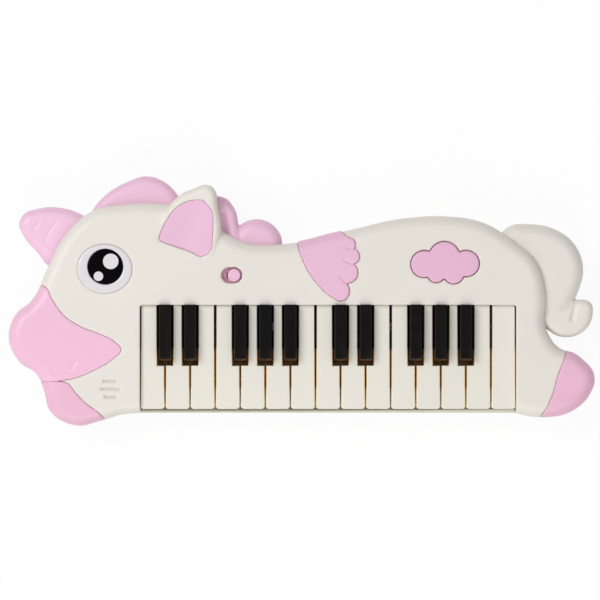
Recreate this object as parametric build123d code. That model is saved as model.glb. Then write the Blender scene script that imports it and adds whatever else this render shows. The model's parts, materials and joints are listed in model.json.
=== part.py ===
from build123d import *
from math import cos, hypot, pi, radians, sin
import os

# Toy keyboard in the outline of a lying unicorn, with 25 keys along its belly.
# Millimetres, +X along the keys to the right, +Y away from the player, +Z up.
# The origin is on the table under the middle of the whole outline.

# Case: two plastic shells that meet at one flat parting line
foot_height = 2.0
foot_radius = 6.0
seam_height = 16.0
top_height = 42.0
wall = 2.4
top_round = 9.0
base_round = 3.0
shell_gap = 0.35
seam_gap = 0.2
cheek_wall = 2.0
floor_top = foot_height + wall
floor_root = foot_height + 1.0
cavity_top = top_height - wall
bite = 1.0
seat_gap = 0.1

# Keys, C to C: the white ones sink below the panel and the black ones stand out of it
white_count = 15
black_after = (1, 2, 4, 5, 6, 8, 9, 11, 12, 13)
key_pitch = 17.55
key_gap = 1.4
key_left = -113.4
key_front = -75.6
key_drop = 4.0
key_travel = 4.0
key_wall = 1.6
key_edge = 0.7
front_corner = 2.0
white_height = 12.0
white_top = top_height - key_drop
key_bottom = white_top - white_height
slot_width = 11.5
slot_front = -45.3
panel_edge = -2.8
panel_clearance = 0.5
opening_right = key_left + white_count * key_pitch

black_width = 9.5
black_crown = 7.7
black_front = -42.0
black_crown_front = -40.0
black_height = 15.5
black_rise = 7.5
black_roof = 2.0
black_top = white_top + black_rise
black_base = black_top - black_height
stem_width = 7.0
stem_trim = 1.0
stem_root = 3.0
stem_top = white_top - 3.5

# Key pivot, a steel rod through every key just behind the panel's edge
pivot_y = 6.0
pivot_drop = 8.0
pivot_z = white_top - pivot_drop
rod_radius = 1.5
rod_clearance = 0.05
rod_spare = 0.5
tail_length = 7.0
tail_base = pivot_z - 3.0

# Contact board under the keys, with one rubber dome to each key
board_thick = 1.6
board_inset = 1.0
board_front = -60.0
board_back = -34.0
dome_radius = 4.2
dome_crown = 2.6
dome_height = 6.0
dome_room = 1.4
dome_gap = 0.2
board_top = key_bottom - dome_room - dome_height
white_dome_y = -54.0
black_dome_y = -38.5
plunger_radius = 2.0
plunger_low = board_top + dome_height + dome_gap

# Ledge of the lower case in front of the keys, which stops them
ledge_room = 0.5
ledge_top = key_bottom - key_travel - ledge_room
ledge_back = -60.9
ledge_thick = 2.0
ledge_ribs = (-85, -43, 9, 44, 79, 125)
ledge_rib_thick = 2.0
lip_front = -78.5
lip_top = ledge_top + 2.5

# Key frame that carries the rod, with a rail and a felt strip for the key tails
frame_top = key_bottom - 6.0
frame_thick = 2.0
frame_front = -33.5
frame_back = 14.5
felt_gap = 0.2
felt_thick = 1.5
felt_low = tail_base - felt_gap - felt_thick
rail_gap = 0.3
rib_thick = 2.0
rib_half = 4.5
rib_top = pivot_z + 3.5
rod_left = key_left - rib_thick / 2 - rod_spare
rod_right = opening_right + rib_thick / 2 + rod_spare

# Control board that hangs from the panel, its middle, length and width
control_board_top = cavity_top - 11.0
control_board_area = (30.0, 24.4, 184.0, 19.2)
chip_area = (11.0, 24.0, 12.0, 8.0)
chip_height = 1.8

# Cloud, a push button over a rubber dome
cloud_lobes = (
    (99.6, 30.6, 10.6), (85.5, 25.8, 9.1), (114.9, 26.2, 8.8), (93.9, 19.2, 6.0), (106.1, 19.2, 6.9))
cloud_middle = (99.6, 25.0)
cloud_gap = 0.7
cloud_corner = 1.2
cloud_edge = 0.8
cloud_proud = 1.2
cloud_travel = 1.5
cloud_flange = 1.2
cloud_flange_thick = 1.6
cloud_stem_radius = 4.0
pressed_dome_height = 4.3
button_dome_radii = (5.0, 3.6)
button_dome_height = pressed_dome_height + cloud_travel
cloud_stem_low = control_board_top + button_dome_height + dome_gap

# Power switch, a round knob in a pill-shaped dish
pill_centre = (-49.2, 18.0)
pill_length = 14.3
pill_width = 10.5
pill_depth = 2.0
bezel_wall = 0.6
bezel_flange = 1.6
bezel_low = cavity_top - 2.0
bezel_sink = 0.2
knob_travel = 3.4
knob_x = pill_centre[0] + knob_travel / 2
knob_clearance = 0.2
knob_radius = pill_width / 2 - bezel_wall - knob_clearance
knob_gap = 0.3
knob_stem = 3.0
knob_stem_gap = 0.4
knob_edge = 0.8
knob_low = top_height - pill_depth + knob_gap
knob_top = top_height + 1.4
switch_size = (13.0, 6.4, 4.6)
slide_depth = 2.0
slide_gap = 0.3
slide_room = 0.6

# Eye, ear and wing
eye_centre = (-138.0, 22.5)
eye_radii = (19.0, 17.0)
eye_point_count = 12
eye_proud = 0.8
eye_edge = 0.8
eye_low = cavity_top - 2.0
pupil_centre = (-137.5, 24.0)
pupil_radius = 12.5
pupil_gap = 0.2
pupil_edge = 1.0
pupil_proud = 0.5
pupil_depth = 1.0
ear_foot = (-86.0, 37.0)
ear_uphill = 62.0
ear_slope = 8.0
ear_round = 5.0
ear_dish = 0.8
wing_proud = 1.4
wing_side = 0.8
wing_low = top_height - 19.0

# Puffy pieces that stand out of the case, and the tongues that the two shells trap
puff_low = foot_height + 4.0
horn_top = top_height - 10.0
mane_top = top_height - 8.0
tail_top = top_height - 8.0
horn_round = 7.0
front_mane_round = 6.0
rear_mane_rounds = (6.0, 8.0)
tail_rounds = (9.0, 5.0)
tongue_width = 14.0
tongue_thick = 5.0
tongue_reach = 9.0
tongue_clearance = 0.3

# Shallow slots in the cheek, each its middle and length, and the loudspeaker that faces down
slot_lines = ((-134.5, -56.0, 9.7), (-134.0, -61.5, 14.4), (-134.0, -67.0, 9.5))
slot_high = 2.0
slot_depth = 0.9
speaker_centre = (-134.0, -58.0)
speaker_radius = 15.5
speaker_gap = 0.3
speaker_low = floor_top + speaker_gap
basket_rim = 2.4
basket_rim_thick = 1.5
basket_height = 8.5
basket_sheet = 1.0
magnet_radius = 8.5
magnet_height = 5.0
cone_edge = 0.6
cone_sheet = 0.6
cone_top = 6.6
cone_top_radius = 4.5
collar_wall = 1.6
collar_height = 5.0
sound_hole_radius = 2.0
sound_hole_ring = 8.0
sound_hole_count = 6

# Battery box with three AA cells, and its door
cell_radius = 7.15
cell_length = 50.0
cell_pitch = 14.7
cell_tip = (2.7, 1.4)
cell_centre = (-143.0, 4.0)
cell_floor_gap = 0.4
cell_top_gap = 0.3
cell_play = 0.2
cell_axis = floor_top + cell_floor_gap + cell_radius
contact_plate = (9.0, 0.5, 10.0)
contact_gap = 0.3
spring_radius = 3.0
dimple_radius = 1.6
box_wall = 1.6
box_top = cell_axis + cell_radius + cell_top_gap
door_size = (48.0, 60.0)
door_gap = 0.3
door_lug = (14.0, 9.0)
door_screw_sink = 1.2
tab_place = 14.0
tab_width = 8.0
tab_reach = 3.0
tab_height = 1.4
door_screw_place = (cell_centre[0], cell_centre[1] + door_size[1] / 2 + door_lug[1] / 2)

# Screws, posts and feet
screw_radius = 1.5
screw_hole = 1.56
screw_head_radius = 2.8
screw_head_height = 2.0
screw_bite = 12.0
hole_spare = 0.2
boss_radius = 3.6
hanger_radius = 2.6
post_radius = 4.8
well_radius = 3.2
well_depth = 7.0
case_bosses = ((-119.5, -36), (-104, 58), (60, 46), (128, 44), (158, 5), (158, -66))
muzzle_boss = (-172, -32)
front_hoof_boss = (-158, -74)
rear_hoof_boss = (184, -58)
all_bosses = (*case_bosses, muzzle_boss, front_hoof_boss, rear_hoof_boss)
frame_posts = ((-95, -18), (-20, -18), (62, -18), (130, -18))
board_posts = ((-104.6, -46), (-34.4, -46), (35.8, -46), (106, -46), (141, -46))
hanging_posts = ((-57, 30), (-30, 28), (62, 28), (66, 18.5))
foot_places = (
    (-184, -20), (-162, -54), (-120, 56), (0, -66), (60, 34), (130, -66), (190, -46), (150, 20))

# Outlines on the panel, each point on the curve
body_points = (
    (-113.5, -78.5), (-71.5, -78.5), (103.5, -78.5), (147.0, -78.5), (166.5, -81.5), (188.5, -77.5),
    (200.0, -68.0), (205.0, -53.0), (194.5, -39.0), (178.0, -31.0), (170.5, -17.0), (171.0, 2.0),
    (165.0, 26.0), (147.0, 43.0), (128.0, 54.5), (96.5, 59.5), (72.0, 58.0), (30.0, 49.0),
    (-12.0, 40.0), (-36.5, 40.5), (-56.5, 49.5), (-74.0, 62.5), (-99.5, 68.5), (-124.0, 68.0),
    (-147.0, 63.0), (-166.5, 46.0), (-178.5, 23.0), (-187.5, 3.0), (-203.0, -13.5), (-205.5, -26.0),
    (-199.0, -41.5), (-185.0, -52.5), (-181.0, -62.5), (-176.5, -77.0), (-159.0, -87.0),
    (-139.5, -83.5), (-125.5, -79.5))
horn_points = (
    (-148.5, 55.5), (-157.5, 62.0), (-169.5, 65.5), (-185.0, 65.0), (-196.0, 60.5), (-199.0, 54.0),
    (-195.5, 45.5), (-185.5, 33.5), (-177.0, 24.5), (-165.0, 27.5), (-152.5, 41.5))
front_mane_points = (
    (-150.0, 55.5), (-145.5, 66.0), (-136.0, 76.0), (-124.0, 83.0), (-108.0, 87.5), (-95.0, 82.5),
    (-86.5, 73.0), (-81.0, 61.0), (-106.5, 52.5), (-134.5, 51.0))
rear_mane_lobes = (
    ((-67.0, 60.0), (-63.0, 73.0), (-55.5, 73.0), (-47.0, 64.0), (-44.5, 53.0), (-39.0, 38.5),
     (-45.0, 30.0), (-61.5, 38.5)),
    ((-48.5, 42.5), (-43.5, 53.0), (-31.0, 57.5), (-20.0, 53.0), (-14.0, 39.5), (-18.0, 31.5),
     (-39.0, 30.0)))
tail_lobes = (
    ((138.5, 42.5), (146.0, 52.5), (159.5, 54.0), (177.5, 50.5), (191.0, 40.5), (197.5, 24.0),
     (194.0, 6.5), (185.0, -7.5), (170.0, -12.0), (152.5, 7.5)),
    ((186.0, -3.0), (194.5, 1.0), (202.5, -1.0), (204.0, -10.0), (197.5, -21.5), (185.0, -25.0),
     (173.0, -19.0), (166.5, -12.0), (175.0, -3.5)))
ear_points = (
    (-104.0, 41.0), (-100.5, 54.0), (-92.5, 67.5), (-81.0, 77.0), (-68.5, 82.0), (-61.5, 77.5),
    (-58.8, 65.0), (-56.6, 50.0), (-58.5, 38.0), (-63.0, 28.5), (-74.0, 28.0), (-90.0, 34.0))
inner_ear_runs = (
    ((-100.0, 42.5), (-95.0, 55.5), (-83.5, 68.0), (-70.0, 70.5)),
    ((-70.0, 70.5), (-65.0, 66.0), (-62.5, 48.0), (-66.0, 33.0), (-71.5, 31.0)),
    ((-71.5, 31.0), (-79.0, 35.0), (-88.5, 38.0), (-100.0, 42.5)))
wing_runs = (
    ((-3.0, 45.5), (-2.5, 38.0), (1.0, 27.5), (9.5, 13.5), (21.5, 2.5), (28.0, 0.0), (32.5, 4.0),
     (31.0, 12.5)),
    ((31.0, 12.5), (36.0, 14.0), (39.0, 19.0), (36.0, 26.0)),
    ((36.0, 26.0), (40.0, 29.5), (39.5, 34.0), (36.5, 36.5)),
    ((36.5, 36.5), (37.0, 41.5), (31.0, 45.5), (26.5, 50.5)))
muzzle_seam = (
    (-188.0, 11.5), (-180.0, 10.0), (-174.0, 0.0), (-166.5, -10.0), (-155.5, -17.5), (-141.5, -23.0),
    (-131.5, -28.0), (-126.5, -34.5), (-131.5, -40.0), (-145.0, -48.5), (-163.0, -55.0), (-188.0, -56.0))
front_hoof_seam = (
    (-188.0, -56.0), (-173.0, -56.0), (-164.0, -57.5), (-158.0, -64.5), (-151.0, -71.5), (-143.0, -77.5),
    (-134.0, -88.0))
rear_hoof_seam = (
    (187.0, -26.0), (183.5, -40.5), (179.0, -52.0), (175.0, -66.0), (170.0, -76.5), (160.0, -88.0))

# Where each trapped piece enters the case: place on the case's edge and the direction inward
horn_root = (-172.0, 37.0, -38.0)
front_mane_root = (-118.0, 68.0, -90.0)
rear_mane_root = (-34.0, 41.0, -90.0)
tail_root = (160.0, 32.0, 225.0)

# Limits well outside the part, where cuts may end
outside = 25.0
left_limit = min(x for x, y in body_points) - outside
right_limit = max(x for x, y in body_points) + outside
front_limit = min(y for x, y in body_points) - outside
back_limit = max(y for x, y in body_points) + outside
above = top_height + outside


def unit(vector):
    """A vector of length one."""
    length = hypot(*vector)
    return (vector[0] / length, vector[1] / length)


def mirrored(direction, start, end):
    """The direction at one end of an arc from start to end, given the direction at the other."""
    chord = unit((end[0] - start[0], end[1] - start[1]))
    along = 2 * (direction[0] * chord[0] + direction[1] * chord[1])
    return (along * chord[0] - direction[0], along * chord[1] - direction[1])


def heading(before, here, after):
    """The tangent at here of the circle through three points."""
    first = (here[0] - before[0], here[1] - before[1])
    second = (after[0] - here[0], after[1] - here[1])
    ratio = hypot(*second) / hypot(*first)
    return unit((first[0] * ratio + second[0] / ratio, first[1] * ratio + second[1] / ratio))


def tangent_arc(start, direction, end):
    """An arc, or a line where the arc would be flat."""
    chord = (end[0] - start[0], end[1] - start[1])
    turn = direction[0] * chord[1] - direction[1] * chord[0]
    if abs(turn) < 1e-4 * hypot(*chord):
        return Line(start, end)
    return TangentArc(start, end, tangent=direction)


def arc_pair(start, leaving, end, arriving):
    """Two arcs that join two points smoothly, each with a given direction."""
    chord = (end[0] - start[0], end[1] - start[1])
    both = (leaving[0] + arriving[0], leaving[1] + arriving[1])
    along = chord[0] * both[0] + chord[1] * both[1]
    square = chord[0] ** 2 + chord[1] ** 2
    spread = 2 * (1 - leaving[0] * arriving[0] - leaving[1] * arriving[1])
    if spread < 1e-9:
        reach = square / (2 * along)
    else:
        reach = ((along ** 2 + spread * square) ** 0.5 - along) / spread
    middle = tuple((start[k] + end[k] + reach * (leaving[k] - arriving[k])) / 2 for k in (0, 1))
    return [tangent_arc(start, leaving, middle), tangent_arc(middle, mirrored(leaving, start, middle), end)]


def smooth_run(points):
    """Arcs that run smoothly through the points from the first to the last."""
    headings = [heading(*points[k - 1:k + 2]) for k in range(1, len(points) - 1)]
    headings.insert(0, mirrored(headings[0], points[0], points[1]))
    headings.append(mirrored(headings[-1], points[-2], points[-1]))
    edges = []
    for k in range(len(points) - 1):
        edges += arc_pair(points[k], headings[k], points[k + 1], headings[k + 1])
    return edges


def smooth_face(points):
    """A face whose closed outline runs smoothly through the points."""
    count = len(points)
    headings = [heading(points[k - 1], points[k], points[(k + 1) % count]) for k in range(count)]
    edges = []
    for k in range(count):
        after = (k + 1) % count
        edges += arc_pair(points[k], headings[k], points[after], headings[after])
    return Face(Wire(edges))


def cut_face(runs, *corners):
    """A face bounded by smooth runs, closed by straight lines through the corners."""
    edges = [edge for run in runs for edge in smooth_run(run)]
    stops = [runs[-1][-1], *corners, runs[0][0]]
    if corners:
        edges += [Line(stops[k], stops[k + 1]) for k in range(len(stops) - 1)]
    return Face(Wire(edges))


def prism(face, low, high):
    """The solid above a flat outline, from one height to another."""
    return extrude(Pos(0, 0, low) * face, high - low, dir=(0, 0, 1))


def rim(solid, height):
    """The edges of a solid that lie at one height."""
    return solid.edges().filter_by_position(Axis.Z, height - 0.01, height + 0.01)


def rounded_prism(face, low, high, top=0.0, bottom=0.0):
    """A prism with its upper and lower rims rounded."""
    solid = prism(face, low, high)
    if top:
        solid = fillet(rim(solid, high), top)
    if bottom:
        solid = fillet(rim(solid, low), bottom)
    return solid


def block(x, y, z):
    """A box from its three ranges."""
    size = (x[1] - x[0], y[1] - y[0], z[1] - z[0])
    return Pos(x[0], y[0], z[0]) * Box(*size, align=(Align.MIN, Align.MIN, Align.MIN))


def around(middle, half):
    """The range that lies evenly around a middle."""
    return (middle - half, middle + half)


def post(place, radius, low, high):
    """An upright cylinder."""
    upright = Cylinder(radius, high - low, align=(Align.CENTER, Align.CENTER, Align.MIN))
    return Pos(place[0], place[1], low) * upright


def holes(places, radius, low, high):
    """An upright cylinder at each place."""
    return [post(place, radius, low, high) for place in places]


def along_x(radius, low, high):
    """A cylinder along the pivot line."""
    return Pos((low + high) / 2, pivot_y, pivot_z) * Rot(0, 90, 0) * Cylinder(radius, high - low)


def along_y(place, height, radius, length):
    """A cylinder along Y round a place and a height."""
    return Pos(place[0], place[1], height) * Rot(90, 0, 0) * Cylinder(radius, length)


def joined(shape, pieces):
    """A shape with each of the pieces added in turn."""
    for piece in pieces:
        shape += piece
    return shape


def cut(shape, pieces):
    """A shape with each of the pieces taken away in turn."""
    for piece in pieces:
        shape -= piece
    return shape


# Shared outlines and forms

body_face = smooth_face(body_points)
body_inside = offset(body_face, -wall)
ear_face = smooth_face(ear_points)
muzzle_region = cut_face([muzzle_seam], (left_limit, muzzle_seam[-1][1]), (left_limit, muzzle_seam[0][1]))
front_hoof_region = cut_face(
    [front_hoof_seam], (front_hoof_seam[-1][0], front_limit), (left_limit, front_limit),
    (left_limit, front_hoof_seam[0][1]))
rear_hoof_region = cut_face(
    [rear_hoof_seam], (rear_hoof_seam[-1][0], front_limit), (right_limit, front_limit),
    (right_limit, rear_hoof_seam[0][1]))
wing_region = cut_face(wing_runs, (wing_runs[-1][-1][0], back_limit), (wing_runs[0][0][0], back_limit))
inner_ear_face = cut_face(inner_ear_runs)
pill_face = SlotOverall(pill_length, pill_width).faces()[0].moved(Location((*pill_centre, 0)))
cloud_face = Sketch() + [Pos(x, y) * Circle(radius) for x, y, radius in cloud_lobes]
cloud_face = fillet(cloud_face.vertices(), cloud_corner).faces()[0]
eye_turns = [2 * pi * k / eye_point_count for k in range(eye_point_count)]
eye_face = smooth_face([
    (eye_centre[0] + eye_radii[0] * cos(turn), eye_centre[1] + eye_radii[1] * sin(turn)) for turn in eye_turns])

uphill = (cos(radians(ear_uphill)), sin(radians(ear_uphill)))
ear_lean = sin(radians(ear_slope))
ear_plane = Plane(
    origin=(*ear_foot, top_height), x_dir=(-uphill[1], uphill[0], 0),
    z_dir=(-uphill[0] * ear_lean, -uphill[1] * ear_lean, cos(radians(ear_slope))))


def over_ear(drop):
    """All that lies above the ear's slope, or a little below it."""
    size = 2 * (right_limit - left_limit)
    return ear_plane.offset(-drop) * Box(size, size, above, align=(Align.CENTER, Align.CENTER, Align.MIN))


def ear_wedge(face, low, drop, radius):
    """The ear as a prism under the slope, with its sloping rim rounded."""
    wedge = prism(face, low, above) - over_ear(drop)
    return fillet(wedge.faces().sort_by(Axis.Z)[-1].edges(), radius)


form = (rounded_prism(body_face, seam_height, top_height, top_round)
        + ear_wedge(ear_face, seam_height, 0.0, ear_round))
cavity = (rounded_prism(body_inside, seam_height, cavity_top, top_round - wall)
          + ear_wedge(offset(ear_face, -wall), seam_height + wall, wall, ear_round - wall))
skin = form - cavity
around_case = prism(offset(body_face, seam_gap), 0, above)
around_ear = prism(offset(ear_face, seam_gap), 0, above)
around_horn = prism(offset(smooth_face(horn_points), seam_gap), 0, above)
key_well = block((key_left, opening_right), (front_limit, panel_edge), (0, above))
pivot_bore = along_x(rod_radius + rod_clearance, rod_left - bite, rod_right + bite)


def tongue(root, spare=0.0):
    """A flat tongue at a trapped piece's root, half inside the case."""
    x, y, angle = root
    size = (2 * tongue_reach + 2 * spare, tongue_width + 2 * spare, tongue_thick + 2 * spare)
    return Pos(x, y, seam_height) * Rot(0, 0, angle) * Box(*size)


roots = (horn_root, front_mane_root, rear_mane_root, tail_root)
tongue_slots = [tongue(root, tongue_clearance) for root in roots]


# Case

def cheek_slot(x, y, length):
    """One of the shallow slots in the cheek."""
    return Pos(x, y, top_height - slot_depth) * extrude(SlotOverall(length, slot_high), outside)


def upper_case():
    """The white upper shell, with the key well's side walls and the screw bosses."""
    cheeks = [block(x, (lip_front, panel_edge), (seam_height, top_height)) for x in (
        (key_left - cheek_wall, key_left), (opening_right, opening_right + cheek_wall))]
    inner_pieces = cheeks + holes(case_bosses, boss_radius, seam_height, above)
    inner_pieces += holes(hanging_posts, hanger_radius, control_board_top, above)
    case = joined(skin, [piece & form for piece in inner_pieces])
    panel_holes = ((cloud_face, cloud_gap), (pill_face, seam_gap), (eye_face, seam_gap))
    hanging_screw_end = control_board_top - board_thick + screw_bite
    return cut(case, [
        key_well,
        prism(muzzle_region, 0, above),
        prism(front_hoof_region, 0, above),
        prism(rear_hoof_region, 0, above),
        prism(wing_region, wing_low - seam_gap, above),
        *[prism(offset(face, gap), cavity_top - bite, above) for face, gap in panel_holes],
        prism(offset(inner_ear_face, seam_gap), 0, above) & over_ear(ear_dish + wall),
        *holes(case_bosses, screw_hole, seam_height, seam_height + screw_bite),
        *holes(hanging_posts, screw_hole, control_board_top, hanging_screw_end + hole_spare),
        *[cheek_slot(*line) for line in slot_lines],
        *tongue_slots,
    ])


def capped(region, boss, neighbour=None):
    """A coloured cap that continues the upper shell's skin and is held by one screw."""
    room = prism(offset(region, -seam_gap), 0, above)
    if neighbour:
        room -= prism(neighbour, 0, above)
    cap = (skin & room) + (post(boss, boss_radius, seam_height, above) & form)
    return cap - post(boss, screw_hole, seam_height, seam_height + screw_bite)


def wing():
    """The raised wing that wraps over the back edge."""
    proud = rounded_prism(offset(body_face, wing_side), wing_low, top_height + wing_proud, top_round)
    return (proud & prism(offset(wing_region, -seam_gap), 0, above)) - cavity


def collar():
    """The round wall on the floor that holds the loudspeaker."""
    inner = speaker_radius + speaker_gap
    wall_ring = post(speaker_centre, inner + collar_wall, floor_root, floor_top + collar_height)
    return wall_ring - post(speaker_centre, inner, floor_top, above)


def sound_holes():
    """The holes under the loudspeaker, one in the middle of a ring."""
    x, y = speaker_centre
    turns = [2 * pi * k / sound_hole_count for k in range(sound_hole_count)]
    ring = [(x + sound_hole_ring * cos(turn), y + sound_hole_ring * sin(turn)) for turn in turns]
    return holes([speaker_centre, *ring], sound_hole_radius, 0, floor_top + bite)


def lower_case():
    """The white tray with the key ledge, the battery box, the loudspeaker's collar and all posts."""
    across = (key_left + shell_gap, opening_right - shell_gap)
    lip_back = lip_front + wall
    x, y = cell_centre
    half_x, half_y = door_size[0] / 2, door_size[1] / 2
    case = rounded_prism(body_face, foot_height, seam_height, bottom=base_round)
    case -= prism(body_inside, floor_top, seam_height)
    case = joined(case, [
        block(across, (lip_front, lip_back), (foot_height + base_round, lip_top)),
        block(across, (lip_front + wall / 2, ledge_back), (ledge_top - ledge_thick, ledge_top)),
        *[block(around(rib, ledge_rib_thick / 2), (lip_back, ledge_back),
                (floor_root, ledge_top - ledge_thick / 2)) for rib in ledge_ribs],
        block(around(x, half_x + box_wall), around(y, half_y + box_wall), (floor_root, box_top + box_wall)),
        collar(),
        *holes(all_bosses, post_radius, floor_root, seam_height),
        *holes(frame_posts, boss_radius, floor_root, frame_top - frame_thick),
        *holes(board_posts, boss_radius, floor_root, board_top - board_thick),
        post(door_screw_place, boss_radius, floor_root, box_top),
    ])
    return cut(case, [
        block(around(x, half_x), around(y, half_y), (0, box_top)),
        door_lug_block(0.0, (0, floor_top)),
        *[door_tab_room(side) for side in (-1, 1)],
        *sound_holes(),
        *holes(all_bosses, well_radius, 0, foot_height + well_depth),
        *holes(all_bosses, screw_hole, 0, seam_height),
        *holes(frame_posts, screw_hole, frame_top - frame_thick - screw_bite, above),
        *holes(board_posts, screw_hole, board_top - board_thick - screw_bite, above),
        post(door_screw_place, screw_hole, 0, floor_top + screw_bite),
        *tongue_slots,
    ])


# Battery box

def door_lug_block(gap, heights):
    """The lug at the battery door's back edge, smaller by the gap."""
    x, y = cell_centre
    back = y + door_size[1] / 2
    return block(around(x, door_lug[0] / 2 - gap), (back - tab_reach, back + door_lug[1] - gap), heights)


def door_tab(side, gap=0.0):
    """One of the two tabs that hook the battery door over the floor's edge, larger by the gap."""
    x = cell_centre[0] + side * tab_place
    front = cell_centre[1] - door_size[1] / 2
    return block(around(x, tab_width / 2 + gap), (front - tab_reach - gap, front + tab_reach),
                 (floor_top + seat_gap, floor_top + tab_height + gap))


def door_tab_room(side):
    """The room in the battery box for one tab."""
    return door_tab(side, door_gap)


def battery_door():
    """The flat door with two tabs at the front and a screw lug at the back."""
    x, y = cell_centre
    half_x, half_y = door_size[0] / 2 - door_gap, door_size[1] / 2 - door_gap
    door = block(around(x, half_x), around(y, half_y), (foot_height, floor_top))
    door += door_lug_block(door_gap, (foot_height, floor_top))
    for side in (-1, 1):
        root = block(around(x + side * tab_place, tab_width / 2), (y - half_y, y - half_y + tab_reach),
                     (foot_height + bite, floor_top + tab_height))
        door = joined(door, [door_tab(side), root])
    door -= post(door_screw_place, screw_hole, 0, above)
    return door - post(door_screw_place, well_radius, 0, foot_height + door_screw_sink)


def cells():
    """Three AA cells side by side, turned end for end in turn."""
    tip_radius, tip_length = cell_tip
    group = []
    for k in (-1, 0, 1):
        x, y = cell_centre[0] + k * cell_pitch, cell_centre[1]
        flip = -1 if k == 0 else 1
        can = along_y((x, y - flip * tip_length / 2), cell_axis, cell_radius, cell_length - tip_length)
        tip = along_y((x, y + flip * (cell_length - tip_length) / 2), cell_axis, tip_radius, tip_length)
        group.append(can + tip)
    return group


def contacts():
    """A plate at each end of each cell, with a spring at the flat end and a dimple at the tip."""
    wide, thick, high = contact_plate
    group = []
    for k in (-1, 0, 1):
        x, flip = cell_centre[0] + k * cell_pitch, -1 if k == 0 else 1
        for side in (-1, 1):
            back = cell_centre[1] + side * (door_size[1] / 2 - contact_gap)
            cell_end = cell_centre[1] + side * (cell_length / 2 + cell_play)
            plate = block(around(x, wide / 2), sorted((back, back - side * thick)), around(cell_axis, high / 2))
            radius = dimple_radius if side == flip else spring_radius
            coil = along_y((x, (back + cell_end) / 2), cell_axis, radius, abs(back - cell_end))
            group.append(plate + coil)
    return group


# Pieces trapped between the shells

def trapped(lobes, high, rounds, root, clear=()):
    """A puffy piece outside the case, with its tongue."""
    shape = Part()
    for points, radius in zip(lobes, rounds):
        shape += rounded_prism(smooth_face(points), puff_low, high, radius, radius)
    shape = cut(shape, [around_case, *clear])
    shape = max(shape.solids(), key=lambda solid: solid.volume)
    return shape + tongue(root)


# Keys and what carries them

def white_key(index):
    """One white key, a hollow cap with a stem to the pivot rod."""
    left = key_left + index * key_pitch
    right = left + key_pitch
    cut_left, cut_right = index in black_after, index + 1 in black_after
    front = (left + key_gap / 2, right - key_gap / 2)
    low = left + slot_width / 2 if cut_left else front[0]
    high = right - slot_width / 2 if cut_right else front[1]
    stem = (low if cut_left else low + stem_trim, high if cut_right else high - stem_trim)
    back = pivot_y + tail_length
    ceiling = white_top - key_wall
    front_part = block(front, (key_front, slot_front), (key_bottom, white_top))
    front_part = fillet(front_part.edges().filter_by(Axis.Z).group_by(Axis.Y)[0], front_corner)
    key = front_part + block((low, high), (slot_front - bite, panel_edge + bite), (key_bottom, white_top))
    key = fillet(rim(key, white_top), key_edge)
    key += block(stem, (panel_edge, back), (key_bottom, stem_top))
    key = cut(key, [
        block((front[0] + key_wall, front[1] - key_wall), (key_front + key_wall, slot_front - key_wall),
              (key_bottom - bite, ceiling)),
        block((low + key_wall, high - key_wall), (slot_front - key_wall - bite, panel_edge - bite),
              (key_bottom - bite, ceiling)),
        block((left, right), (pivot_y + rib_half, back + bite), (key_bottom - bite, tail_base)),
    ])
    key += post((left + key_pitch / 2, white_dome_y), plunger_radius, plunger_low, ceiling + key_wall / 2)
    return key - pivot_bore


def black_key(index):
    """One black key, a tapered hollow cap with a stem to the pivot rod."""
    x = key_left + index * key_pitch
    rear = panel_edge - panel_clearance
    ceiling = black_top - black_roof
    base = Pos(x, (black_front + rear) / 2, black_base) * Rectangle(black_width, rear - black_front)
    crown = Pos(x, (black_crown_front + rear) / 2, black_top) * Rectangle(black_crown, rear - black_crown_front)
    key = loft([base.faces()[0], crown.faces()[0]])
    key = fillet(rim(key, black_top).sort_by(Axis.Y)[:-1], key_edge)
    key += block(around(x, stem_width / 2), (rear - stem_root, pivot_y + tail_length), (tail_base, stem_top))
    key -= block(around(x, black_crown / 2 - key_wall), (black_crown_front + key_wall, rear - stem_root - bite),
                 (black_base - bite, ceiling))
    key += post((x, black_dome_y), plunger_radius, plunger_low, ceiling + black_roof / 2)
    return key - pivot_bore


def key_frame():
    """The black frame with a rib at each pair of white keys that has no black key between."""
    across = (key_left + panel_clearance, opening_right - panel_clearance)
    rail = (pivot_y + rib_half + rail_gap, frame_back)
    frame = block(across, (frame_front, frame_back), (frame_top - frame_thick, frame_top))
    frame += block(across, rail, (frame_top - bite, felt_low))
    for k in range(white_count + 1):
        if k not in black_after:
            frame += block(around(key_left + k * key_pitch, rib_thick / 2), around(pivot_y, rib_half),
                           (frame_top - frame_thick, rib_top))
    return cut(frame, [pivot_bore, *holes(frame_posts, screw_hole, 0, above)])


def key_felt():
    """The felt strip that the key tails rest on."""
    across = (key_left + board_inset, opening_right - board_inset)
    return block(across, (pivot_y + rib_half + rail_gap, frame_back), (felt_low, felt_low + felt_thick))


def contact_board():
    """The brown board that carries the key contacts."""
    across = (key_left + board_inset, opening_right - board_inset)
    board = block(across, (board_front, board_back), (board_top - board_thick, board_top))
    return cut(board, holes(board_posts, screw_hole, 0, above))


def domes():
    """A rubber dome under each key."""
    places = [(key_left + (k + 0.5) * key_pitch, white_dome_y) for k in range(white_count)]
    places += [(key_left + k * key_pitch, black_dome_y) for k in black_after]
    dome = Cone(dome_radius, dome_crown, dome_height, align=(Align.CENTER, Align.CENTER, Align.MIN))
    return [Pos(x, y, board_top) * dome for x, y in places]


# Panel switches and the eye

def cloud_button():
    """The cloud-shaped push button with its retaining flange and stem."""
    crown = top_height + cloud_proud
    flange_top = cavity_top - seat_gap
    button = prism(cloud_face, cavity_top - bite, crown)
    button = fillet(rim(button, crown), cloud_edge)
    button += prism(offset(cloud_face, cloud_gap + cloud_flange), flange_top - cloud_flange_thick, flange_top)
    return button + post(cloud_middle, cloud_stem_radius, cloud_stem_low, flange_top)


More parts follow.
